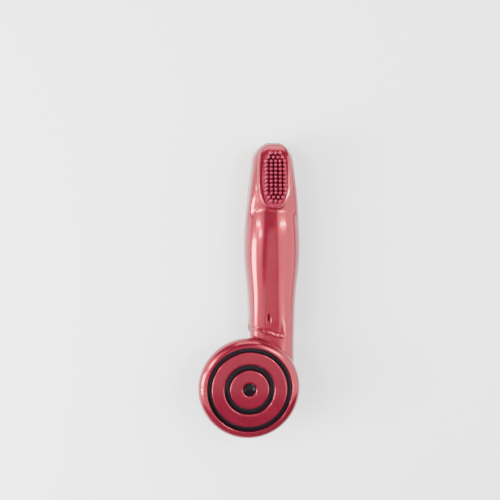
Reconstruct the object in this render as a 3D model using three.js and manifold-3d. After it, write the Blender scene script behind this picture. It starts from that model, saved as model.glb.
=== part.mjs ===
// Finger toothbrush for dogs. A soft rubber sleeve is worn on the index finger. It carries a bristle head
// on the pad side of its tip. At its mouth a flexible neck joins it to a wide disc that lies in the palm,
// where the thumb holds it and where it keeps the brush from being swallowed.
// Millimetres. The brush lies on its back: +Z is the bristle side, +Y points at the sleeve's tip, and the
// origin is on the ground under the middle of its box.
import * as THREE from "three";
import { mergeVertices } from "three/addons/utils/BufferGeometryUtils.js";
import Module from "manifold-3d";

const wasm = await Module();
wasm.setup();

// ---------- driving dimensions ----------
const LENGTH = 148; // from the disc's edge to the sleeve's tip
const GAP = 0.3; // between pieces that are moulded or pressed against each other
const INLAY_GAP = 0.1; // around an inlay in its groove

// Sleeve: sections from behind the mouth to the start of the tip's dome.
const SLEEVE_X = 11.7; // its axis stands to the right of the disc's
const SLEEVE_SECTIONS = [
  // y, half-width, height, squareness
  [-44, 11.4, 20.8, 3.8],
  [-22, 11.4, 20.9, 3.6],
  [-4, 12.1, 21.6, 3.0],
  [22, 14.1, 22.4, 2.5],
  [43, 12.8, 20.6, 2.3],
  [56, 11.4, 18.8, 2.2],
  [64, 10.4, 17.6, 2.2],
];
const TIP_Y = LENGTH / 2;
const TIP_WALL = 4; // rubber between fingertip and tip
const WALL = 1.9;
const BACK_FLAT = 1.1; // how much of the rounded back is cut away to leave the flat it lies on
const TIP_RISE = 3; // the dome's end stands this far above the section's middle
const SIDES = 32; // facets round the sleeve
const MOUTH_BACK_Y = -25; // the back wall covers the knuckle
const MOUTH_FRONT_Y = -14; // the front wall stops at the web of the fingers, apart from the neck
const NECK_LOW = 15.2; // underside of the neck's edges

// Neck: the fold line crosses it at a slant, along the edge of the disc.
const FOLD_Y = -20.3; // on the sleeve's axis
const FOLD_SLOPE = -0.3;

// Bristle head, in its own frame on the sloping front of the tip, with its origin where the pad is widest.
// Pad and mat are blunt towards the tip and drawn in to a rounder end towards the finger's root.
const HEAD_Y = 54.2;
const HEAD_Z = 21.3;
const HEAD_TILT = THREE.MathUtils.degToRad(8);
const PAD = { halfWidth: 8.2, ahead: 19.6, behind: 12.8 };
const MAT = { halfWidth: 5.9, ahead: 15.3, behind: 11.8 };
const ROUND_END = 3.2; // squareness of the outline's two ends
const POINTED_END = 2.3;
const BEND_FROM = 11.5; // ahead of this the head curves down over the tip
const BEND = 0.025; // per millimetre of its square
const PAD_EDGE = 1; // rounding of the pad's rim
const PAD_DEPTH = 9; // before the sleeve's form is taken out of it
const MAT_DEPTH = 0.6;
const FIRST_ROW = 14.1; // ahead of the widest place
const ROW_PITCH = 1.95;
const COLUMN_PITCH = 2.2;
const BRISTLES_PER_ROW = [3, 4, 5, 5, 5, 5, 5, 5, 5, 5, 5, 4, 3];
const BRISTLE_HEIGHT = 4.2;
const BRISTLE_ROOT_R = 0.8;
const BRISTLE_TIP_R = 0.5;

// Palm disc. Heights are above the disc's back face.
const DISC_R = 25.5;
const DISC_X = -0.3;
const DISC_Y = DISC_R - LENGTH / 2;
const DISC_Z = 16;
const DISC_THICK = 9;
const DISC_SIDES = 48;
const RIM_IN = 21.2; // inner edge of the rounded rim
const RIM_CREST_R = 22.7;
const RIM_SIDE = 4; // height at which the rim is widest
const OUTER_RING = [18.85, RIM_IN]; // inner and outer radius of each black ring's groove
const INNER_RING = [9.75, 12.6];
const BUTTON_R = 3.3;
const BAND_TOP = 8.4; // the red bands between the rings
const GROOVE_FLOOR = 7;
const RING_TOP = 7.7;
const CAVITY_TOP = 6;
const CAVITY_R = 22.3;
const COVER_THICK = 1.6; // and its outer face is recessed in the rim by COVER_IN
const COVER_IN = 0.2;
const COVER_RIB = [13.4, 15]; // the ring on its inside that backs the shell
const TONGUE = { halfWidth: 9.5, low: 2, high: 4.8, endY: -45 }; // the tab of the neck that the disc holds
const PEG_R = 2;
const PEGS = [
  [SLEEVE_X - 5.5, -36],
  [SLEEVE_X + 4.5, -38],
];

// ---------- helpers ----------
const xAxis = new THREE.Vector3(1, 0, 0);
const yAxis = new THREE.Vector3(0, 1, 0);
const zAxis = new THREE.Vector3(0, 0, 1);

// A closed geometry as a manifold solid.
function solidOf(geometry) {
  const bare = geometry.clone();
  bare.deleteAttribute("normal");
  bare.deleteAttribute("uv");
  const merged = mergeVertices(bare, 1e-4);
  return new wasm.Manifold(
    new wasm.Mesh({
      numProp: 3,
      vertProperties: merged.attributes.position.array,
      triVerts: new Uint32Array(merged.index.array),
    }),
  );
}

// A manifold solid as a geometry.
function geometryOf(solid) {
  const mesh = solid.getMesh();
  const geometry = new THREE.BufferGeometry();
  geometry.setAttribute("position", new THREE.BufferAttribute(mesh.vertProperties, 3));
  geometry.setIndex(new THREE.BufferAttribute(mesh.triVerts, 1));
  geometry.computeVertexNormals();
  return geometry;
}

// A closed skin over rings of points that all run the same way, with a fan over each end.
function loft(rings) {
  const count = rings[0].length;
  const points = rings.flat();
  const index = [];
  for (let r = 0; r + 1 < rings.length; r++) {
    for (let i = 0; i < count; i++) {
      const a = r * count + i;
      const b = r * count + ((i + 1) % count);
      index.push(a, b, b + count, a, b + count, a + count);
    }
  }
  for (const [first, turned] of [
    [0, true],
    [(rings.length - 1) * count, false],
  ]) {
    const middle = new THREE.Vector3();
    for (let i = 0; i < count; i++) middle.addScaledVector(points[first + i], 1 / count);
    const hub = points.push(middle) - 1;
    for (let i = 0; i < count; i++) {
      const a = first + i;
      const b = first + ((i + 1) % count);
      index.push(...(turned ? [hub, b, a] : [hub, a, b]));
    }
  }
  const geometry = new THREE.BufferGeometry().setFromPoints(points);
  geometry.setIndex(index);
  return geometry;
}

// A plan outline, [x, y] corners, pulled up from one height to another.
function prism(outline, low, high) {
  const shape = new THREE.Shape(outline.map(([x, y]) => new THREE.Vector2(x, y)));
  const geometry = new THREE.ExtrudeGeometry(shape, { depth: high - low, bevelEnabled: false });
  return solidOf(geometry.translate(0, 0, low));
}

// A turned solid: [radius, height] points from axis to axis, about the disc's axis.
function turned(profile, sides = DISC_SIDES) {
  const points = profile.map(([r, h]) => new THREE.Vector2(r, h));
  const geometry = new THREE.LatheGeometry(points, sides).rotateX(Math.PI / 2);
  return solidOf(geometry.translate(DISC_X, DISC_Y, DISC_Z));
}

function cylinder(radius, low, high, x, y, sides = 20) {
  const geometry = new THREE.CylinderGeometry(radius, radius, high - low, sides).rotateX(Math.PI / 2);
  return solidOf(geometry.translate(x, y, (low + high) / 2));
}

const powered = (value, power) => Math.sign(value) * Math.abs(value) ** power;

function piece(name, solid, material) {
  const mesh = new THREE.Mesh(geometryOf(solid), material);
  mesh.name = name;
  return mesh;
}

// ---------- sleeve ----------
// One oval section across the sleeve, at right angles to Y.
function section(y, halfWidth, low, high, squareness) {
  const ring = [];
  for (let i = 0; i < SIDES; i++) {
    const angle = (-2 * Math.PI * i) / SIDES;
    const x = SLEEVE_X + halfWidth * powered(Math.cos(angle), 2 / squareness);
    const z = (low + high) / 2 + ((high - low) / 2) * powered(Math.sin(angle), 2 / squareness);
    ring.push(new THREE.Vector3(x, y, z));
  }
  return ring;
}

// The sleeve's outer form, every side moved out by grow, with its tip at tipY.
function sleeveForm(grow, tipY, underside) {
  const rings = [];
  const plan = new THREE.CatmullRomCurve3(SLEEVE_SECTIONS.map(([y, w, h]) => new THREE.Vector3(w, y, h)));
  const power = new THREE.CatmullRomCurve3(SLEEVE_SECTIONS.map(([y, , , n]) => new THREE.Vector3(n, y, 0)));
  const steps = 14;
  for (let i = 0; i <= steps; i++) {
    const at = plan.getPoint(i / steps);
    const squareness = power.getPoint(i / steps).x;
    rings.push(section(at.y, at.x + grow, underside, at.z + grow, squareness));
  }
  const [domeY, width, height, squareness] = SLEEVE_SECTIONS.at(-1);
  const domeSteps = 6;
  for (let i = 1; i <= domeSteps; i++) {
    const turn = (Math.PI / 2) * Math.min(i / domeSteps, 0.985);
    const share = Math.cos(turn);
    const middle = (height + grow + underside) / 2 + TIP_RISE * Math.sin(turn) ** 2;
    const reach = share * ((height + grow - underside) / 2);
    const y = domeY + (tipY - domeY) * Math.sin(turn);
    rings.push(section(y, (width + grow) * share, middle - reach, middle + reach, squareness));
  }
  return solidOf(loft(rings));
}

const foldY = (x, shift = 0) => FOLD_Y + shift + (x - SLEEVE_X) * FOLD_SLOPE;
const farLeft = SLEEVE_X - 40;
const farRight = SLEEVE_X + 40;
const farBack = -100;
const farHigh = 60;

// Everything on the disc's side of the fold line, from under the neck upward.
function beyondFold(shift) {
  const outline = [
    [farLeft, farBack],
    [farRight, farBack],
    [farRight, foldY(farRight, shift)],
    [farLeft, foldY(farLeft, shift)],
  ];
  return prism(outline, NECK_LOW - 2, farHigh);
}

// The space behind the sleeve's slanting mouth and under the neck, as a side profile pulled across X.
function mouthSpace() {
  const profile = new THREE.Shape();
  profile.moveTo(farBack, -5);
  profile.lineTo(MOUTH_BACK_Y - 2, -5);
  profile.lineTo(MOUTH_BACK_Y, 0);
  profile.lineTo(MOUTH_FRONT_Y - 4, 10);
  profile.quadraticCurveTo(MOUTH_FRONT_Y, NECK_LOW, MOUTH_FRONT_Y - 7, NECK_LOW);
  profile.lineTo(farBack, NECK_LOW);
  const depth = farRight - farLeft;
  const geometry = new THREE.ExtrudeGeometry(profile, { depth, bevelEnabled: false, curveSegments: 6 });
  const across = new THREE.Matrix4().makeBasis(yAxis, zAxis, xAxis);
  return solidOf(geometry.applyMatrix4(across).translate(farLeft, 0, 0));
}

// The whole rubber tube with its neck, before the neck is parted from it at the fold line.
function sleeveShell() {
  const ground = prism([[farLeft, farBack], [farRight, farBack], [farRight, 100], [farLeft, 100]], -20, 0);
  const outside = sleeveForm(0, TIP_Y, -BACK_FLAT).subtract(ground);
  return outside.subtract(sleeveForm(-WALL, TIP_Y - TIP_WALL, WALL)).subtract(mouthSpace());
}

// ---------- bristle head ----------
const headFrame = new THREE.Matrix4()
  .makeRotationX(-HEAD_TILT)
  .premultiply(new THREE.Matrix4().makeTranslation(SLEEVE_X, HEAD_Y, HEAD_Z));

// A head outline moved in by inset, at one height of the head's frame.
function outlineRing({ halfWidth, ahead, behind }, inset, height) {
  const ring = [];
  const sides = 36;
  for (let i = 0; i < sides; i++) {
    const angle = (2 * Math.PI * i) / sides;
    const forward = Math.sin(angle) > 0;
    const squareness = forward ? ROUND_END : POINTED_END;
    const x = (halfWidth - inset) * powered(Math.cos(angle), 2 / squareness);
    const y = ((forward ? ahead : behind) - inset) * powered(Math.sin(angle), 2 / squareness);
    ring.push(new THREE.Vector3(x, y, height));
  }
  return ring;
}

const bendDown = (y) => BEND * Math.max(0, y - BEND_FROM) ** 2;

// A slab of that outline between two heights, its top edge eased, bent down over the tip.
function headSlab(outline, low, high, edge = 0) {
  const fan = [0.72, 0.48, 0.24].map((share) => share * outline.halfWidth);
  const rings = fan.map((inset) => [inset, low]);
  rings.push([0, low]);
  if (edge > 0) {
    for (const turn of [0, Math.PI / 6, Math.PI / 3]) {
      rings.push([edge * (1 - Math.cos(turn)), high + edge * (Math.sin(turn) - 1)]);
    }
  }
  rings.push([edge, high], ...fan.reverse().map((inset) => [inset + edge / 2, high]));
  const bent = rings.map(([inset, height]) => outlineRing(outline, inset, height));
  for (const point of bent.flat()) point.z -= bendDown(point.y);
  return solidOf(loft(bent).applyMatrix4(headFrame));
}

const moved = ({ halfWidth, ahead, behind }, out) => ({
  halfWidth: halfWidth + out,
  ahead: ahead + out,
  behind: behind + out,
});

function brushPad() {
  const recess = headSlab(MAT, -MAT_DEPTH, 2);
  const finger = sleeveForm(GAP, TIP_Y + GAP, -BACK_FLAT);
  return headSlab(PAD, -PAD_DEPTH, 0, PAD_EDGE).subtract(recess).subtract(finger);
}

function bristle(x, y) {
  const shaft = BRISTLE_HEIGHT - BRISTLE_TIP_R;
  const profile = [
    [0, -MAT_DEPTH / 2],
    [BRISTLE_ROOT_R, -MAT_DEPTH / 2],
    [BRISTLE_TIP_R, shaft],
    [BRISTLE_TIP_R * Math.SQRT1_2, shaft + BRISTLE_TIP_R * Math.SQRT1_2],
    [0, BRISTLE_HEIGHT],
  ];
  const points = profile.map(([r, h]) => new THREE.Vector2(r, h));
  const geometry = new THREE.LatheGeometry(points, 8).rotateX(Math.PI / 2).translate(x, y, -bendDown(y));
  return solidOf(geometry.applyMatrix4(headFrame));
}

function bristleMat() {
  let mat = headSlab(moved(MAT, -INLAY_GAP), INLAY_GAP - MAT_DEPTH, 0);
  BRISTLES_PER_ROW.forEach((count, row) => {
    const y = FIRST_ROW - row * ROW_PITCH;
    for (let i = 0; i < count; i++) mat = mat.add(bristle((i - (count - 1) / 2) * COLUMN_PITCH, y));
  });
  return mat;
}

// ---------- palm disc ----------
// The top of a red band between two radii, its edges eased.
function band(from, to) {
  const ease = 0.5;
  return [
    [from, BAND_TOP - ease],
    [from + ease * 0.3, BAND_TOP - ease * 0.3],
    [from + ease, BAND_TOP],
    [to - ease, BAND_TOP],
    [to - ease * 0.3, BAND_TOP - ease * 0.3],
    [to, BAND_TOP - ease],
  ];
}

// The rounded rim, from its foot up over its crest, between two turns of its section in degrees.
function rimArc(from, to, inward = 0) {
  const points = [];
  for (let turn = from; turn <= to; turn += 20) {
    const angle = THREE.MathUtils.degToRad(turn);
    const rise = turn < 0 ? RIM_SIDE : DISC_THICK - RIM_SIDE;
    const radius = RIM_CREST_R + (DISC_R - inward - RIM_CREST_R) * Math.cos(angle);
    points.push([radius, RIM_SIDE + (rise - inward) * Math.sin(angle)]);
  }
  return points;
}

const rimProfile = () => [[RIM_CREST_R, 0], ...rimArc(-80, 100), [RIM_IN, BAND_TOP - 0.3]];

// The disc's outer form without its grooves, every side moved in.
const discForm = (inward) => turned([[0, inward], ...rimArc(-80, 80, inward), [0, DISC_THICK - inward]]);

function discShell() {
  const [outerIn] = OUTER_RING;
  const [innerIn, innerOut] = INNER_RING;
  const profile = [
    [0, CAVITY_TOP],
    [CAVITY_R, CAVITY_TOP],
    [CAVITY_R, 0],
    ...rimProfile(),
    [RIM_IN, GROOVE_FLOOR],
    [outerIn, GROOVE_FLOOR],
    ...band(innerOut, outerIn).reverse(),
    [innerOut, GROOVE_FLOOR],
    [innerIn, GROOVE_FLOOR],
    ...band(BUTTON_R, innerIn).reverse(),
    [BUTTON_R, GROOVE_FLOOR],
    [0, GROOVE_FLOOR],
  ];
  return turned(profile).subtract(tongueBlock(GAP, DISC_Z - 1));
}

// A black ring that lies in its groove, its top eased.
function gripRing([inner, outer]) {
  const [from, to] = [inner + INLAY_GAP, outer - INLAY_GAP];
  const low = GROOVE_FLOOR + INLAY_GAP;
  const ease = 0.25;
  const profile = [
    [from, low],
    [to, low],
    [to, RING_TOP - ease],
    [to - ease, RING_TOP],
    [from + ease, RING_TOP],
    [from, RING_TOP - ease],
    [from, low],
  ];
  return turned(profile);
}

function centreButton() {
  const radius = BUTTON_R - INLAY_GAP;
  const low = GROOVE_FLOOR + INLAY_GAP;
  const crown = [
    [radius, RING_TOP - 0.4],
    [radius * 0.6, RING_TOP],
    [0, RING_TOP + 0.1],
  ];
  return turned([[0, low], [radius, low], ...crown], 32);
}

// The tab of the neck inside the disc, every side moved out by grow. low is its underside above the ground.
function tongueBlock(grow, low) {
  const { halfWidth, high, endY } = TONGUE;
  const reach = halfWidth + grow;
  const outline = [
    [SLEEVE_X - reach, endY + 6 - grow],
    [SLEEVE_X - reach + 4, endY - grow],
    [SLEEVE_X + reach - 8, endY - grow],
    [SLEEVE_X + reach, endY + 6 - grow],
    [SLEEVE_X + reach, -18],
    [SLEEVE_X - reach, -18],
  ];
  return prism(outline, low, DISC_Z + high + grow);
}

const discPlug = (radius) => cylinder(radius, -5, 60, DISC_X, DISC_Y, DISC_SIDES);

// The tab fills the slot in the disc's wall, and runs on between the back cover and the shell.
function anchorTongue() {
  const root = tongueBlock(0, DISC_Z + GAP).subtract(discPlug(CAVITY_R + GAP));
  let tab = tongueBlock(0, DISC_Z + TONGUE.low + GAP).add(root).intersect(discForm(GAP));
  for (const [x, y] of PEGS) tab = tab.subtract(cylinder(PEG_R + GAP, 0, 60, x, y));
  return tab;
}

function discCover() {
  const radius = CAVITY_R - INLAY_GAP;
  const top = CAVITY_TOP - GAP;
  const [ribIn, ribOut] = COVER_RIB;
  const rib = turned([[ribIn, 1], [ribOut, 1], [ribOut, top], [ribIn, top], [ribIn, 1]]);
  const plate = turned([[0, COVER_IN], [radius, COVER_IN], [radius, COVER_THICK], [0, COVER_THICK]]);
  let cover = plate.add(rib.subtract(tongueBlock(GAP, DISC_Z + COVER_THICK)));
  for (const [x, y] of PEGS) cover = cover.add(cylinder(PEG_R, DISC_Z + 1, DISC_Z + top, x, y));
  return cover;
}

// ---------- neck ----------
function neckWeb(shell) {
  return shell.intersect(beyondFold(-GAP)).subtract(discPlug(DISC_R + GAP));
}

// ---------- materials ----------
const redRubber = new THREE.MeshStandardMaterial({ color: 0xc23a4a, roughness: 0.42, metalness: 0 });
const redPlastic = new THREE.MeshStandardMaterial({ color: 0xbe3148, roughness: 0.3, metalness: 0 });
const bristleRubber = new THREE.MeshStandardMaterial({ color: 0xb02a40, roughness: 0.45, metalness: 0 });
const blackRubber = new THREE.MeshStandardMaterial({ color: 0x1b191d, roughness: 0.5, metalness: 0 });

// ---------- assembly ----------
const shell = sleeveShell();
const part = new THREE.Group();
part.add(
  piece("finger_sleeve", shell.subtract(beyondFold(0)), redRubber),
  piece("brush_pad", brushPad(), redRubber),
  piece("bristle_mat", bristleMat(), bristleRubber),
  piece("neck_web", neckWeb(shell), redRubber),
  piece("anchor_tongue", anchorTongue(), redRubber),
  piece("disc_front_shell", discShell(), redPlastic),
  piece("outer_grip_ring", gripRing(OUTER_RING), blackRubber),
  piece("inner_grip_ring", gripRing(INNER_RING), blackRubber),
  piece("centre_button", centreButton(), blackRubber),
  piece("disc_back_cover", discCover(), redPlastic),
);

export default part;
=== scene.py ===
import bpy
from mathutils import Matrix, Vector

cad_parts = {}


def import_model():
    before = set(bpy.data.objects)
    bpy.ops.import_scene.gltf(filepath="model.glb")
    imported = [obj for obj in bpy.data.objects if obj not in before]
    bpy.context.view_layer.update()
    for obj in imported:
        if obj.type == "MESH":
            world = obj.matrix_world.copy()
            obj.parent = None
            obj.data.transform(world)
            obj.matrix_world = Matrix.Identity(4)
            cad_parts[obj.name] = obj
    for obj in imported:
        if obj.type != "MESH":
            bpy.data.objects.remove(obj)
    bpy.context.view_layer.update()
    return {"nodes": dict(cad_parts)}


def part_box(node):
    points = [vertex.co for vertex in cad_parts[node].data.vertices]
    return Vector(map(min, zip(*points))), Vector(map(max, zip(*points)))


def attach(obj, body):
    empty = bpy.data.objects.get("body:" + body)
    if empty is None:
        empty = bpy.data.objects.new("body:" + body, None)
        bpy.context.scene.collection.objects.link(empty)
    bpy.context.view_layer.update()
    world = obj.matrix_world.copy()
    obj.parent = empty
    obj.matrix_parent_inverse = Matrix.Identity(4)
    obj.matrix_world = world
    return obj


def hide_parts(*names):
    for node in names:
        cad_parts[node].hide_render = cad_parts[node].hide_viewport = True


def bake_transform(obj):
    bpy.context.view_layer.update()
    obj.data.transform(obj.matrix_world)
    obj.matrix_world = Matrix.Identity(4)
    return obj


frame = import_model()

import math

import bpy
import numpy as np
from mathutils import Matrix, Vector

# Lengths in the making of the meshes are millimetres in the row's frame, and MM turns them into metres.
# The sleeve, neck and pad are skins of smooth solids given by formulas, so every edge is rounded as moulded
# rubber is. The disc's pieces are turned profiles.
MM = 0.001


def box_mm(node):
    low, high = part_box(node)
    return np.array(low) / MM, np.array(high) / MM


SLEEVE_LOW, SLEEVE_HIGH = box_mm("finger_sleeve")
DISC_LOW, DISC_HIGH = box_mm("disc_front_shell")
SLEEVE_X = (SLEEVE_LOW[0] + SLEEVE_HIGH[0]) / 2
TIP_Y = SLEEVE_HIGH[1]
DISC_X = (DISC_LOW[0] + DISC_HIGH[0]) / 2
DISC_Y = (DISC_LOW[1] + DISC_HIGH[1]) / 2
DISC_Z = DISC_LOW[2]
DISC_R = (DISC_HIGH[0] - DISC_LOW[0]) / 2

# ---------- sleeve and neck ----------
# sections across the sleeve, from behind its mouth to the start of the tip's dome
SECTION_Y = [-44, -22, -4, 20, 30, 34, 43, 56, 64]
SECTION_HALF_WIDTH = [11.4, 11.4, 12.1, 14.1, 13.8, 13.5, 12.8, 11.4, 10.4]
SECTION_HEIGHT = [20.8, 20.9, 21.6, 22.4, 22.3, 21.9, 20.3, 18.8, 17.6]
SECTION_SQUARENESS = [3.8, 3.6, 3.0, 2.5, 2.4, 2.4, 2.3, 2.2, 2.2]
WALL = 1.9
TIP_WALL = 4
TIP_RISE = 3  # the dome's end stands this far above the section's middle
BACK_FLAT = 1.1  # how much of the rounded back is cut away
MOUTH_BACK_Y = -25
MOUTH_SLOPE = 0.7  # how far the mouth's edge runs forward for each millimetre it rises
MOUTH_CORNER = 6  # softness of the corner between the mouth and the neck
NECK_LOW = 15.2  # underside of the neck's edges
NECK_END_R = 24.7  # the neck runs a little way into the disc's rim
FOLD_Y = -20.3
FOLD_SLOPE = -0.3
MARK_X = SLEEVE_X - 2.3
MARK_Y = -13.4
MARK_HALF_LENGTH = 2.4
MARK_HALF_WIDTH = 0.85
MARK_DEPTH = 1.35
MARK_FLOOR_SLOPE = 0.14

# ---------- bristle head ----------
HEAD_Y = 54.2
HEAD_Z = 21.3
HEAD_TILT = math.radians(8)
PAD = (8.2, 19.6, 12.8)  # half-width, length ahead of the widest place, length behind it
MAT = (5.9, 15.3, 11.8)
ROUND_END = 3.2  # squareness of the outline's two ends
POINTED_END = 2.3
BEND_FROM = 11.5  # ahead of this the head curves down over the tip
BEND = 0.025
PAD_DEPTH = 3.1
PAD_SLOPE = math.radians(20)  # of the pad's eased rim
PAD_EASE = 0.3
PAD_EDGE = 0.6  # softness of the pad's rim
FOOT_REACH = 1.4  # of the pad's foot past its rim
PLINTH_TOP = 2.2  # below the pad's face
PLINTH_SPREAD = 1.9  # how far the plinth's flank runs out for each millimetre it drops
MAT_DEPTH = 0.06
MAT_THICK = 0.5
MAT_TUCK = 0.2  # how far the mat reaches under the pad's edge
FIRST_ROW = 14.1
ROW_PITCH = 1.95
COLUMN_PITCH = 2.2
BRISTLES_PER_ROW = [3, 4, 5, 5, 5, 5, 5, 5, 5, 5, 5, 4, 3]
BRISTLE_HEIGHT = 4.2
BRISTLE_ROOT_R = 0.92
BRISTLE_TIP_R = 0.78

# ---------- palm disc, heights above its back face ----------
RIM_IN = 21.2
RIM_CREST_R = 21.3
RIM_FOOT_R = 22.7
RIM_SIDE = 5  # height at which the rim is widest
DISC_THICK = DISC_HIGH[2] - DISC_LOW[2] + 0.1
OUTER_RING = (18.85, 21.2)
INNER_RING = (9.75, 12.6)
BUTTON_R = 3.3
BAND_TOP = 8.4
BAND_FLAT = 1.1  # from a band's edge to where its top is quite flat
GROOVE_FLOOR = 7
RING_TOP = 7.7
INLAY_GAP = 0.05
CAVITY_TOP = 6
CAVITY_R = 22.3
SLOT_HALF_WIDTH = 9.8
SLOT_TOP = 5.1
COVER_FACE = 0.2
COVER_THICK = 1.6
COVER_DISH_R = 15.5  # inside this the cover's face is dished
COVER_DISH = 0.25


# ---------- smooth solids ----------
def smooth_max(a, b, k):
    """The greater of two fields, its corner rounded over a width of k."""
    h = np.maximum(k - np.abs(a - b), 0) / k
    return np.maximum(a, b) + h * h * k / 4


def smooth_min(a, b, k):
    return -smooth_max(-a, -b, k)


def smooth_step(value, start, end):
    t = np.clip((value - start) / (end - start), 0, 1)
    return t * t * (3 - 2 * t)


def spline(at, values, y):
    """A smooth curve through the values, level with the straight lines between each one's neighbours."""
    at, values = np.array(at, float), np.array(values, float)
    slope = np.gradient(values, at)
    y = np.clip(y, at[0], at[-1])
    i = np.clip(np.searchsorted(at, y) - 1, 0, len(at) - 2)
    span = at[i + 1] - at[i]
    t = (y - at[i]) / span
    start = (1 + 2 * t) * (1 - t) ** 2 * values[i] + t * (1 - t) ** 2 * span * slope[i]
    return start + t * t * (3 - 2 * t) * values[i + 1] + t * t * (t - 1) * span * slope[i + 1]


def tube(x, y, z, grow, tip_y, underside):
    """Distance to the sleeve's closed tube, every side moved out by grow."""
    half = spline(SECTION_Y, SECTION_HALF_WIDTH, y) + grow
    top = spline(SECTION_Y, SECTION_HEIGHT, y) + grow
    power = spline(SECTION_Y, SECTION_SQUARENESS, y)
    dome = SECTION_Y[-1]
    ahead = np.clip((y - dome) / (tip_y - dome), 0, None)
    dx = x - SLEEVE_X
    dz = z - (top + underside) / 2 - TIP_RISE * np.minimum(ahead, 1) ** 2
    radial = ((np.abs(dx) / half) ** power + (np.abs(dz) / ((top - underside) / 2)) ** power) ** (1 / power)
    share = np.sqrt(radial**2 + ahead**2) + 1e-6
    return np.sqrt(dx**2 + dz**2 + (ahead * (tip_y - dome)) ** 2) * (1 - 1 / share)


def mouth_space(y, z):
    """Distance to the space behind the slanting mouth and under the neck."""
    behind = (y - MOUTH_BACK_Y - MOUTH_SLOPE * z) / math.hypot(1, MOUTH_SLOPE)
    return smooth_max(behind, z - NECK_LOW, MOUTH_CORNER)


def from_fold(x, y):
    """Distance ahead of the fold line, towards the sleeve's tip."""
    return (y - FOLD_Y - FOLD_SLOPE * (x - SLEEVE_X)) / math.hypot(1, FOLD_SLOPE)


def fold_relief(x, y, z):
    """The fold line: a fine crease across the front of the neck, a wavy ridge on the disc's side of it, a
    shallow dip towards the right, and fine lines that follow the disc's rim."""
    d = from_fold(x, y) + 0.18 * np.sin(1.1 * x) + 0.1 * np.sin(2.7 * x)
    across = smooth_step(x, SLEEVE_X - 9, SLEEVE_X + 4)
    crease = 0.22 * (1 - 0.6 * across) * np.exp(-((d / 0.5) ** 2))
    dip = 0.22 * across**2 * np.exp(-(((d - 1) / 4.5) ** 2))
    ridge = 0.26 * np.exp(-(((d + 1.1) / 0.5) ** 2))
    from_rim = np.hypot(x - DISC_X, y - DISC_Y) - DISC_R
    lines = 0.03 * np.cos(2 * math.pi * from_rim / 1.2) * smooth_step(-from_rim, -5.5, -3) * across
    fade = smooth_step(-x, -SLEEVE_X - 7.2, -SLEEVE_X - 3.4)
    return (crease + dip - ridge + lines) * fade * smooth_step(z, 13, 17)


def drop_mark(x, y, z):
    """Distance to a small drop-shaped pit in the front wall, wider towards the disc."""
    along = (y - MARK_Y) / MARK_HALF_LENGTH
    width = MARK_HALF_WIDTH * (1 - 0.35 * np.clip(along, -1, 1))
    inside = np.sqrt(along**2 + ((x - MARK_X) / width) ** 2)
    floor_z = spline(SECTION_Y, SECTION_HEIGHT, y) - MARK_DEPTH + MARK_FLOOR_SLOPE * (y - MARK_Y)
    return np.maximum((inside - 1) * width, floor_z - z)


def on_head(x, y, z):
    """The head's own coordinates: across, ahead of its widest place, and above its bent top."""
    dy, dz = y - HEAD_Y, z - HEAD_Z
    ahead = dy * math.cos(HEAD_TILT) - dz * math.sin(HEAD_TILT)
    above = dy * math.sin(HEAD_TILT) + dz * math.cos(HEAD_TILT)
    return x - SLEEVE_X, ahead, above + BEND * np.maximum(ahead - BEND_FROM, 0) ** 2


def drop(across, ahead, outline):
    """Distance to the wall of a drop-shaped prism."""
    half, front, back = outline
    power = np.where(ahead > 0, ROUND_END, POINTED_END)
    length = np.where(ahead > 0, front, back)
    radial = ((np.abs(across) / half) ** power + (np.abs(ahead) / length) ** power) ** (1 / power) + 1e-6
    return np.hypot(across, ahead) * (1 - 1 / radial)


def plinth(x, y, z):
    """Distance to the cone that the pad stands on, whose flanks run out into the sleeve."""
    across, ahead, above = on_head(x, y, z)
    flank = drop(across, ahead, PAD) + PLINTH_SPREAD * (above + PLINTH_TOP)
    return smooth_max(flank / math.hypot(1, PLINTH_SPREAD), above + PLINTH_TOP, 0.5)


def plan(x, y, grow):
    """Distance to the sleeve's outline as seen from above."""
    half = spline(SECTION_Y, SECTION_HALF_WIDTH, y) + grow
    dome, reach = SECTION_Y[-1], TIP_Y + grow - SECTION_Y[-1]
    ahead = np.clip((y - dome) / reach, 0, None)
    share = np.hypot((x - SLEEVE_X) / half, ahead) + 1e-6
    return np.hypot(x - SLEEVE_X, ahead * reach) * (1 - 1 / share)


def sleeve_field(x, y, z):
    """The sleeve and neck: the tube and the foot of the head, less the hollow, mouth, pit and disc."""
    mouth = mouth_space(y, z)
    outer = tube(x, y, z, 0, TIP_Y, -BACK_FLAT) - 0.3 * np.exp(-((mouth / 1.4) ** 2))
    outer = smooth_max(outer + fold_relief(x, y, z), -z, 1.2)
    base = smooth_max(smooth_max(plinth(x, y, z), plan(x, y, -0.2), 3), 8 - z, 1)
    outer = smooth_min(outer, base, 0.6)
    inner = tube(x, y, z, -WALL, TIP_Y - TIP_WALL, WALL)
    shell = smooth_max(outer, -inner, 0.8)
    shell = smooth_max(shell, -mouth, 1.3)
    shell = smooth_max(shell, -drop_mark(x, y, z), 0.12)
    from_disc = np.hypot(x - DISC_X, y - DISC_Y)
    return smooth_max(shell, NECK_END_R - from_disc, 0.3)


def pad_field(x, y, z):
    """The head's rim and floor, its edge eased, running out into the plinth just under the sleeve's skin."""
    across, ahead, above = on_head(x, y, z)
    edge = drop(across, ahead, PAD)
    eased = edge * math.sin(PAD_SLOPE) + above * math.cos(PAD_SLOPE) + PAD_EASE
    body = smooth_max(smooth_max(edge, above, PAD_EDGE), eased, 0.5)
    foot = np.maximum(plinth(x, y, z) + 0.12, edge - FOOT_REACH)
    body = np.maximum(smooth_min(body, foot, 1.3), -(above + PAD_DEPTH))
    recess = smooth_max(drop(across, ahead, MAT), -(above + MAT_DEPTH + 0.3), 0.3)
    return smooth_max(body, -recess, 0.3)


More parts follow.
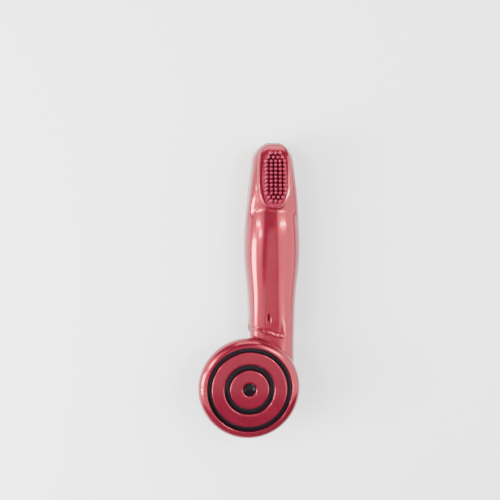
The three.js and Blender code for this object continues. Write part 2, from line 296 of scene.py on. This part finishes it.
def mat_field(x, y, z):
    """The slab that the bristles stand on."""
    across, ahead, above = on_head(x, y, z)
    wall = drop(across, ahead, tuple(size + MAT_TUCK for size in MAT))
    slab = np.maximum(above + MAT_DEPTH, -(above + MAT_DEPTH + MAT_THICK))
    return np.maximum(wall, slab)


# ---------- skins of smooth solids ----------
def cell_corners(values, inside):
    """Mean place of the skin's crossings of each grid cell's edges, in cells, and how many there are."""
    shape = np.array(values.shape) - 1
    total, count = np.zeros((*shape, 3)), np.zeros(shape)
    for axis in range(3):
        a, b = [k for k in range(3) if k != axis]
        near, far = [slice(None)] * 3, [slice(None)] * 3
        near[axis], far[axis] = slice(0, -1), slice(1, None)
        cut = inside[tuple(near)] != inside[tuple(far)]
        change = values[tuple(near)] - values[tuple(far)]
        where = np.where(cut, values[tuple(near)] / np.where(cut, change, 1), 0)
        for da in (0, 1):
            for db in (0, 1):
                part = [slice(None)] * 3
                part[a], part[b] = slice(da, shape[a] + da), slice(db, shape[b] + db)
                hit = cut[tuple(part)]
                count += hit
                total[..., axis] += where[tuple(part)]
                total[..., a] += da * hit
                total[..., b] += db * hit
    return total, count


def surface_net(field, low, high, step):
    """The skin of a field's negative side as quads, with one corner in every grid cell that it crosses."""
    grid = [np.arange(a - 2 * step, b + 2.5 * step, step) for a, b in zip(low, high)]
    values = field(*np.meshgrid(*grid, indexing="ij"))
    inside = values < 0
    total, count = cell_corners(values, inside)
    active = count > 0
    number = np.full(count.shape, -1)
    number[active] = np.arange(active.sum())
    places = np.argwhere(active) + total[active] / count[active][:, None]
    points = np.array([axis[0] for axis in grid]) + step * places
    quads = []
    for axis in range(3):
        a, b = (axis + 1) % 3, (axis + 2) % 3
        near, far = [slice(None)] * 3, [slice(None)] * 3
        near[axis], far[axis] = slice(0, -1), slice(1, None)
        edges = np.argwhere(inside[tuple(near)] != inside[tuple(far)])
        loop = []
        for da, db in ((0, 0), (1, 0), (1, 1), (0, 1)):
            cell = edges.copy()
            cell[:, a] -= da
            cell[:, b] -= db
            loop.append(number[tuple(cell.T)])
        loop = np.stack(loop, 1)
        outward = inside[tuple(edges.T)]
        quads.append(np.where(outward[:, None], loop, loop[:, ::-1]))
    return points, np.concatenate(quads)


def settle(points, field, step):
    """Moves points on to the field's skin."""
    reach = 0.02
    for _ in range(3):
        value = field(*points.T)
        slope = [(field(*(points + d).T) - field(*(points - d).T)) / (2 * reach) for d in np.eye(3) * reach]
        slope = np.stack(slope, 1)
        move = -value[:, None] * slope / np.maximum((slope**2).sum(1), 0.05)[:, None]
        points = points + np.clip(move, -step, step)
    return points


def evened(points, quads):
    """Each point halfway to the middle of its neighbours."""
    total, count = np.zeros_like(points), np.zeros(len(points))
    for k in range(4):
        here, there = quads[:, k], quads[:, (k + 1) % 4]
        np.add.at(total, here, points[there])
        np.add.at(total, there, points[here])
        np.add.at(count, here, 1)
        np.add.at(count, there, 1)
    return (points + total / count[:, None]) / 2


def skin(name, field, low, high, step):
    """A piece with the skin of a field's negative side."""
    points, quads = surface_net(field, low, high, step)
    points = settle(points, field, step)
    for _ in range(2):
        points = settle(evened(points, quads), field, step)
    return piece(name, points, quads.tolist())


# ---------- plain meshes ----------
def piece(name, points, faces):
    mesh = bpy.data.meshes.new(name)
    mesh.from_pydata((np.asarray(points) * MM).tolist(), [], faces)
    mesh.polygons.foreach_set("use_smooth", [True] * len(mesh.polygons))
    mesh.update()
    made = bpy.data.objects.new(name, mesh)
    bpy.context.scene.collection.objects.link(made)
    return made


def turned(profile, sides):
    """Points and faces of a profile of (radius, height) turned about Z. Ends on the axis become poles."""
    points, faces, rings = [], [], []
    for radius, height in profile:
        if radius < 1e-9:
            rings.append([len(points)])
            points.append((0, 0, height))
            continue
        rings.append(list(range(len(points), len(points) + sides)))
        for i in range(sides):
            angle = 2 * math.pi * i / sides
            points.append((radius * math.cos(angle), radius * math.sin(angle), height))
    closed = len(rings[0]) > 1
    for low, high in zip(rings, rings[1:] + rings[:1] if closed else rings[1:]):
        for i in range(sides):
            j = (i + 1) % sides
            loop = [low[i % len(low)], low[j % len(low)], high[j % len(high)], high[i % len(high)]]
            faces.append(list(dict.fromkeys(loop)))
    return np.array(points, float), faces


def rounded(profile, steps=4):
    """A closed outline from (x, y, reach) corners, each rounded from that far before it to that far after."""
    made = []
    for i, (x, y, reach) in enumerate(profile):
        before, after = profile[i - 1], profile[(i + 1) % len(profile)]
        here = Vector((x, y))
        if reach == 0:
            made.append((x, y))
            continue
        to_a, to_b = Vector(before[:2]) - here, Vector(after[:2]) - here
        cut = min(reach, to_a.length / 2.01, to_b.length / 2.01)
        a, b = here + to_a.normalized() * cut, here + to_b.normalized() * cut
        for k in range(steps + 1):
            t = k / steps
            made.append(tuple((1 - t) ** 2 * a + 2 * t * (1 - t) * here + t * t * b))
    return made


def disc_piece(name, profile, sides=192):
    """A piece turned about the disc's axis."""
    points, faces = turned(profile, sides)
    return piece(name, points + (DISC_X, DISC_Y, DISC_Z), faces)


# ---------- materials ----------
def nodes_of(name):
    material = bpy.data.materials.new(name)
    material.use_nodes = True
    tree = material.node_tree
    return material, tree, tree.nodes["Principled BSDF"]


def noise(tree, scale, detail=3.0, roughness=0.5):
    """Cloudy noise in the object's own coordinates, with scale in cells per metre."""
    place = tree.nodes.new("ShaderNodeTexCoord")
    made = tree.nodes.new("ShaderNodeTexNoise")
    made.inputs["Scale"].default_value = scale
    made.inputs["Detail"].default_value = detail
    made.inputs["Roughness"].default_value = roughness
    tree.links.new(place.outputs["Object"], made.inputs["Vector"])
    return made.outputs["Fac"]


def ramp(tree, factor, low, high, start=0.3, end=0.7):
    made = tree.nodes.new("ShaderNodeValToRGB")
    made.color_ramp.elements[0].position = start
    made.color_ramp.elements[1].position = end
    made.color_ramp.elements[0].color = (*low, 1)
    made.color_ramp.elements[1].color = (*high, 1)
    tree.links.new(factor, made.inputs["Fac"])
    return made.outputs["Color"]


def ranged(tree, factor, low, high):
    made = tree.nodes.new("ShaderNodeMapRange")
    made.inputs["From Min"].default_value = 0.3
    made.inputs["From Max"].default_value = 0.7
    made.inputs["To Min"].default_value = low
    made.inputs["To Max"].default_value = high
    tree.links.new(factor, made.inputs["Value"])
    return made.outputs["Result"]


def bumped(tree, shader, heights):
    """Bumps on the shader's normal from (height field, depth in metres, strength) layers."""
    normal = None
    for height, depth, strength in heights:
        bump = tree.nodes.new("ShaderNodeBump")
        bump.inputs["Distance"].default_value = depth
        bump.inputs["Strength"].default_value = strength
        tree.links.new(height, bump.inputs["Height"])
        if normal is not None:
            tree.links.new(normal, bump.inputs["Normal"])
        normal = bump.outputs["Normal"]
    tree.links.new(normal, shader.inputs["Normal"])


def moulded(name, dark, light, gloss, coat, grain, soft=0.0, tint=(1, 0.06, 0.1, 1), ior=2.0):
    """Moulded rubber or plastic: faint clouds of colour, uneven gloss and a fine grain."""
    material, tree, shader = nodes_of(name)
    tree.links.new(ramp(tree, noise(tree, 110, 4), dark, light), shader.inputs["Base Color"])
    tree.links.new(ranged(tree, noise(tree, 420, 3), *gloss), shader.inputs["Roughness"])
    fine = noise(tree, 5200, 2)
    broad = noise(tree, 75, 1)
    bumped(tree, shader, [(broad, 0.0002, 0.2), (fine, 0.00003, grain)])
    shader.inputs["IOR"].default_value = ior
    shader.inputs["Specular IOR Level"].default_value = 0.75
    shader.inputs["Specular Tint"].default_value = tint
    shader.inputs["Coat Weight"].default_value = coat
    shader.inputs["Coat Roughness"].default_value = 0.06
    if soft:
        shader.inputs["Subsurface Weight"].default_value = soft
        shader.inputs["Subsurface Radius"].default_value = (0.003, 0.0006, 0.0006)
        shader.inputs["Subsurface Scale"].default_value = 1.0
    return material


RED_RUBBER = moulded("red_rubber", (0.075, 0.0052, 0.012), (0.088, 0.0068, 0.015),
                     gloss=(0.17, 0.22), coat=0.4, grain=0.01, soft=0.15)
# The nubs and their mat are the sleeve's red rubber with a base colour about twice as light, a painted
# lightening that stands in for light against the shade between the nubs.
PAINTED_LIGHT_BRISTLE_RUBBER = moulded("bristle_rubber", (0.14, 0.013, 0.032), (0.17, 0.017, 0.04),
                         gloss=(0.48, 0.56), coat=0.12, grain=0.02, soft=0.35, ior=1.5)
DISC_RED = moulded("disc_red", (0.058, 0.0032, 0.0105), (0.07, 0.0048, 0.013),
                   gloss=(0.18, 0.22), coat=0.35, grain=0.01)
RING_BLACK = moulded("ring_black", (0.003, 0.002, 0.003), (0.005, 0.003, 0.005),
                     gloss=(0.45, 0.52), coat=0.3, grain=0.05, ior=1.5, tint=(0.03, 0.015, 0.02, 1))


def dressed(made, material, body=None, nodes=()):
    """Gives a piece its material, the body it rides on and the CAD nodes it stands for."""
    made.data.materials.clear()
    made.data.materials.append(material)
    if nodes:
        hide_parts(*nodes)
    if body:
        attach(made, body)
    return made


# ---------- sleeve with neck ----------
sleeve_low = (SLEEVE_LOW[0], DISC_Y, 0)
sleeve_high = (SLEEVE_HIGH[0], TIP_Y, SLEEVE_HIGH[2] + 1)
sleeve = skin("soft_sleeve", sleeve_field, sleeve_low, sleeve_high, 0.36)
dressed(sleeve, RED_RUBBER, nodes=("finger_sleeve", "neck_web"))
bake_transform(sleeve)

# ---------- bristle head ----------
pad_low, pad_high = box_mm("brush_pad")
pad = skin("soft_pad", pad_field, pad_low - 3, pad_high + 3, 0.22)
dressed(pad, RED_RUBBER, "sleeve", ("brush_pad",))


def bristle(across, ahead, random):
    """One nub: a flared root, a tapering shaft and a round tip, standing on the head's bent top."""
    tip_r, root_r = BRISTLE_TIP_R, BRISTLE_ROOT_R
    profile = [(root_r + 0.35, -0.35), (root_r + 0.12, -0.2), (root_r, 0.1)]
    shaft = BRISTLE_HEIGHT - tip_r
    profile += [(root_r + (tip_r - root_r) * t, 0.1 + (shaft - 0.1) * t) for t in (0.33, 0.66, 1)]
    for angle in (25, 50, 72):
        turn = math.radians(angle)
        profile.append((tip_r * math.cos(turn), shaft + tip_r * math.sin(turn)))
    points, faces = turned([(0, -0.4), *profile, (0, BRISTLE_HEIGHT)], 20)
    lean = random.normal(0, 0.012, 2)
    points[:, 0] += lean[0] * points[:, 2]
    points[:, 1] += lean[1] * points[:, 2]
    points[:, 2] *= 1 + random.normal(0, 0.01)
    points += (across, ahead, -BEND * max(0, ahead - BEND_FROM) ** 2)
    turn = Matrix.Rotation(-HEAD_TILT, 3, "X")
    points = points @ np.array(turn).T + (SLEEVE_X, HEAD_Y, HEAD_Z)
    return points, faces


def bristle_mat():
    random = np.random.default_rng(7)
    floor_points, floor_quads = surface_net(mat_field, *box_mm("bristle_mat"), 0.3)
    all_points, all_faces = [settle(floor_points, mat_field, 0.3)], floor_quads.tolist()
    first = len(floor_points)
    for row, count in enumerate(BRISTLES_PER_ROW):
        for i in range(count):
            across = (i - (count - 1) / 2) * COLUMN_PITCH
            points, faces = bristle(across, FIRST_ROW - row * ROW_PITCH, random)
            all_points.append(points)
            all_faces += [[k + first for k in face] for face in faces]
            first += len(points)
    return piece("soft_bristles", np.concatenate(all_points), all_faces)


dressed(bristle_mat(), PAINTED_LIGHT_BRISTLE_RUBBER, "sleeve", ("bristle_mat",))


# ---------- palm disc ----------
def rim_points():
    """The rim's outside, from its foot round to its crest."""
    points = []
    for turn in range(-85, 91, 5):
        angle = math.radians(turn)
        radius, rise = (RIM_FOOT_R, RIM_SIDE) if turn < 0 else (RIM_CREST_R, DISC_THICK - RIM_SIDE)
        points.append((radius + (DISC_R - radius) * math.cos(angle), RIM_SIDE + rise * math.sin(angle), 0))
    return points


def band(outer, inner):
    """Corners of a flat red band with soft edges, from its outer groove to its inner one."""
    flat_outer, flat_inner = (outer - BAND_FLAT, BAND_TOP, 0), (inner + BAND_FLAT, BAND_TOP, 0)
    outer_edge = [(outer, GROOVE_FLOOR, 0.1), (outer, BAND_TOP, 0.5)]
    return [*outer_edge, flat_outer, flat_inner, (inner, BAND_TOP, 0.5), (inner, GROOVE_FLOOR, 0.1)]


def disc_shell():
    corners = [(CAVITY_R, CAVITY_TOP, 0.3), (CAVITY_R, 0, 0.15), (RIM_FOOT_R, 0, 0.1), *rim_points()]
    corners += [(RIM_IN, DISC_THICK - 0.15, 0.2), (RIM_IN, GROOVE_FLOOR, 0.1)]
    corners += [*band(OUTER_RING[0], INNER_RING[1]), *band(INNER_RING[0], BUTTON_R)]
    outline = rounded([*corners, (0, GROOVE_FLOOR, 0), (0, CAVITY_TOP, 0)])
    return disc_piece("red_disc", [*outline[-1:], *outline[:-1]])


def cut_slot(shell):
    """The opening in the rim's lower half through which the neck's tongue enters."""
    low, high = (SLEEVE_X - SLOT_HALF_WIDTH, -40, -5), (SLEEVE_X + SLOT_HALF_WIDTH, -20, SLOT_TOP)
    x0, y0, z0 = low
    x1, y1, z1 = high
    corners = [(x, y, DISC_Z + z) for z in (z0, z1) for x, y in ((x0, y0), (x1, y0), (x1, y1), (x0, y1))]
    faces = [(3, 2, 1, 0), (4, 5, 6, 7), (0, 1, 5, 4), (1, 2, 6, 5), (2, 3, 7, 6), (3, 0, 4, 7)]
    cutter = piece("cutter", corners, faces)
    cut = shell.modifiers.new("slot", "BOOLEAN")
    cut.operation, cut.solver, cut.object = "DIFFERENCE", "EXACT", cutter
    depsgraph = bpy.context.evaluated_depsgraph_get()
    mesh = bpy.data.meshes.new_from_object(shell.evaluated_get(depsgraph))
    shell.modifiers.clear()
    shell.data = mesh
    bpy.data.objects.remove(cutter)
    return shell


def ring(name, inner, outer):
    """A black ring in its groove, its top edges rounded."""
    low, inside, outside = GROOVE_FLOOR + 0.1, inner + INLAY_GAP, outer - INLAY_GAP
    corners = [(inside, low, 0), (outside, low, 0), (outside, RING_TOP, 0.3), (inside, RING_TOP, 0.3)]
    return disc_piece(name, rounded(corners))


def button():
    low, radius = GROOVE_FLOOR + 0.1, BUTTON_R - INLAY_GAP
    turns = np.linspace(0, math.pi / 2, 9)[:-1]
    crown = [(radius * math.cos(turn), RING_TOP - 0.35 + 0.45 * math.sin(turn)) for turn in turns]
    return disc_piece("black_button", [(0, low), (radius, low), *crown, (0, RING_TOP + 0.1)], 96)


def cover():
    """The plate in the disc's back, its face a little dished inside a low flat border."""
    radius = CAVITY_R - 0.1
    dished = COVER_FACE + COVER_DISH
    corners = [(radius, COVER_FACE, 0.25), (radius, COVER_THICK, 0), (0, COVER_THICK, 0), (0, dished, 0)]
    corners += [(COVER_DISH_R, dished, 0.3), (COVER_DISH_R + 0.7, COVER_FACE, 0.3)]
    outline = rounded(corners)
    start = outline.index((0, dished))
    return disc_piece("disc_cover_plate", [*outline[start:], *outline[:start]])


disc = cut_slot(disc_shell())
for polygon in disc.data.polygons:
    polygon.use_smooth = True
dressed(disc, DISC_RED, "palm_disc", ("disc_front_shell",))
dressed(ring("outer_black_ring", *OUTER_RING), RING_BLACK, "palm_disc", ("outer_grip_ring",))
dressed(ring("inner_black_ring", *INNER_RING), RING_BLACK, "palm_disc", ("inner_grip_ring",))
dressed(button(), RING_BLACK, "palm_disc", ("centre_button",))
dressed(cover(), DISC_RED, "palm_disc", ("disc_back_cover",))
tongue = frame["nodes"]["anchor_tongue"]
for slot in tongue.material_slots:
    slot.material = RED_RUBBER


# ---------- stage ----------
# The soft boxes stand where their mirror images in the sleeve and rim make the photograph's highlights.
AIM = Vector((0.006, 0.015, 0.015))
CAMERA_PLACE = Vector((-38.5, 53.8, 405.5)) * MM
CAMERA_TARGET = Vector((0.24, 20.55, 15)) * MM
CAMERA_ROLL = math.radians(-0.4)
CAMERA_LENS = 56.6
FADE_TOP = 0.55  # height, as the sine of the angle above the horizon, at which the sky's fade ends


def around(angle, far):
    """How far to the side and up a point is from AIM, at an angle in degrees from straight up."""
    return far * math.sin(math.radians(angle)), far * math.cos(math.radians(angle))


def softbox(name, start, end, reach, radiance, along="x"):
    """A rectangular soft light between two ends, each (degrees from straight up, metres away), and
    reaching to both sides between the distances in reach. The ends lie across (x) or along (y) the brush."""
    (x0, z0), (x1, z1) = around(*start), around(*end)
    span = math.hypot(x1 - x0, z1 - z0)
    dx, dz = (x1 - x0) / span, (z1 - z0) / span
    middle = (reach[0] + reach[1]) / 2
    if along == "x":
        axes = Vector((dx, 0, dz)), Vector((0, 1, 0)), Vector((-dz, 0, dx))
        place = AIM + Vector(((x0 + x1) / 2, middle, (z0 + z1) / 2))
        size = span, reach[1] - reach[0]
    else:
        axes = Vector((1, 0, 0)), Vector((0, dx, dz)), Vector((0, -dz, dx))
        place = AIM + Vector((middle, (x0 + x1) / 2, (z0 + z1) / 2))
        size = reach[1] - reach[0], span
    data = bpy.data.lights.new(name, "AREA")
    data.shape = "RECTANGLE"
    data.size, data.size_y = size
    data.energy = radiance * math.pi * size[0] * size[1]
    made = bpy.data.objects.new(name, data)
    made.matrix_world = Matrix.Translation(place) @ Matrix(axes).transposed().to_4x4()
    made.visible_camera = False
    bpy.context.scene.collection.objects.link(made)


def floor():
    """A wide pale floor, just under the brush."""
    half = 20000
    corners = [(-half, -half, -0.1), (half, -half, -0.1), (half, half, -0.1), (-half, half, -0.1)]
    made = piece("floor", corners, [(0, 1, 2, 3)])
    material, tree, shader = nodes_of("pale_floor")
    shader.inputs["Base Color"].default_value = (0.82, 0.82, 0.81, 1)
    shader.inputs["Roughness"].default_value = 0.9
    shader.inputs["Specular IOR Level"].default_value = 0
    made.data.materials.append(material)


def camera():
    """Straight down on the brush, a little from its left and from past its middle."""
    data = bpy.data.cameras.new("camera")
    data.sensor_width = 36
    data.lens = CAMERA_LENS
    made = bpy.data.objects.new("camera", data)
    forward = (CAMERA_TARGET - CAMERA_PLACE).normalized()
    top = Vector((math.sin(CAMERA_ROLL), math.cos(CAMERA_ROLL), 0))
    right = forward.cross(top).normalized()
    up = right.cross(forward)
    made.matrix_world = Matrix.Translation(CAMERA_PLACE) @ Matrix((right, up, -forward)).transposed().to_4x4()
    bpy.context.scene.collection.objects.link(made)
    bpy.context.scene.camera = made


def by_height(tree, height, low, high):
    """A strength that goes from low at the horizon to high overhead."""
    made = tree.nodes.new("ShaderNodeMapRange")
    made.interpolation_type = "SMOOTHSTEP"
    made.inputs["From Max"].default_value = FADE_TOP
    made.inputs["To Min"].default_value = low
    made.inputs["To Max"].default_value = high
    tree.links.new(height, made.inputs["Value"])
    return made.outputs["Result"]


def world():
    """Even pale light, as bright at the horizon as the floor far off. Mirror reflections see it dim overhead,
    so that the soft boxes make the highlights."""
    made = bpy.data.worlds.new("studio")
    made.use_nodes = True
    tree = made.node_tree
    direction = tree.nodes.new("ShaderNodeTexCoord")
    split = tree.nodes.new("ShaderNodeSeparateXYZ")
    rays = tree.nodes.new("ShaderNodeLightPath")
    strength = tree.nodes.new("ShaderNodeMix")
    tree.links.new(direction.outputs["Generated"], split.inputs["Vector"])
    tree.links.new(rays.outputs["Is Glossy Ray"], strength.inputs["Factor"])
    tree.links.new(by_height(tree, split.outputs["Z"], 0.515, 0.64), strength.inputs["A"])
    tree.links.new(by_height(tree, split.outputs["Z"], 0.38, 0.08), strength.inputs["B"])
    background = tree.nodes["Background"]
    background.inputs["Color"].default_value = (1, 1, 1, 1)
    tree.links.new(strength.outputs["Result"], background.inputs["Strength"])
    bpy.context.scene.world = made


floor()
camera()
world()
softbox("left_soft", (-84, 0.8), (-21, 0.75), (-0.45, 0.45), 2.8)
softbox("left_streak", (-76, 0.6), (-52, 0.6), (-0.15, 0.01), 52)
softbox("left_spark", (-76, 0.6), (-52, 0.6), (-0.245, -0.185), 60)
softbox("left_glint", (-56, 0.7), (-36, 0.7), (0.13, 0.19), 55)
softbox("left_rim", (-41, 0.7), (-28, 0.7), (0.02, 0.09), 34)
softbox("left_disc", (-21, 0.75), (-7, 0.75), (-0.4, -0.17), 3)
softbox("right_soft", (13, 0.75), (84, 0.8), (-0.3, 0.45), 4.2)
softbox("right_spark", (19, 0.7), (29, 0.7), (-0.236, -0.212), 30)
softbox("right_glint", (20, 0.7), (38, 0.7), (0.13, 0.19), 55)
softbox("overhead", (-5, 0.8), (9, 0.8), (-0.281, 0.12), 0.9)
softbox("overhead_edge", (-8, 0.82), (10.5, 0.82), (-0.281, 0.12), 0.6)
softbox("far_soft", (28, 0.9), (44, 0.9), (-0.25, 0.3), 0.2, "y")
softbox("far_high", (49, 0.9), (78, 0.9), (-0.25, 0.3), 6, "y")
softbox("near_soft", (-70, 0.9), (-32, 0.9), (-0.6, 0.6), 0.4, "y")
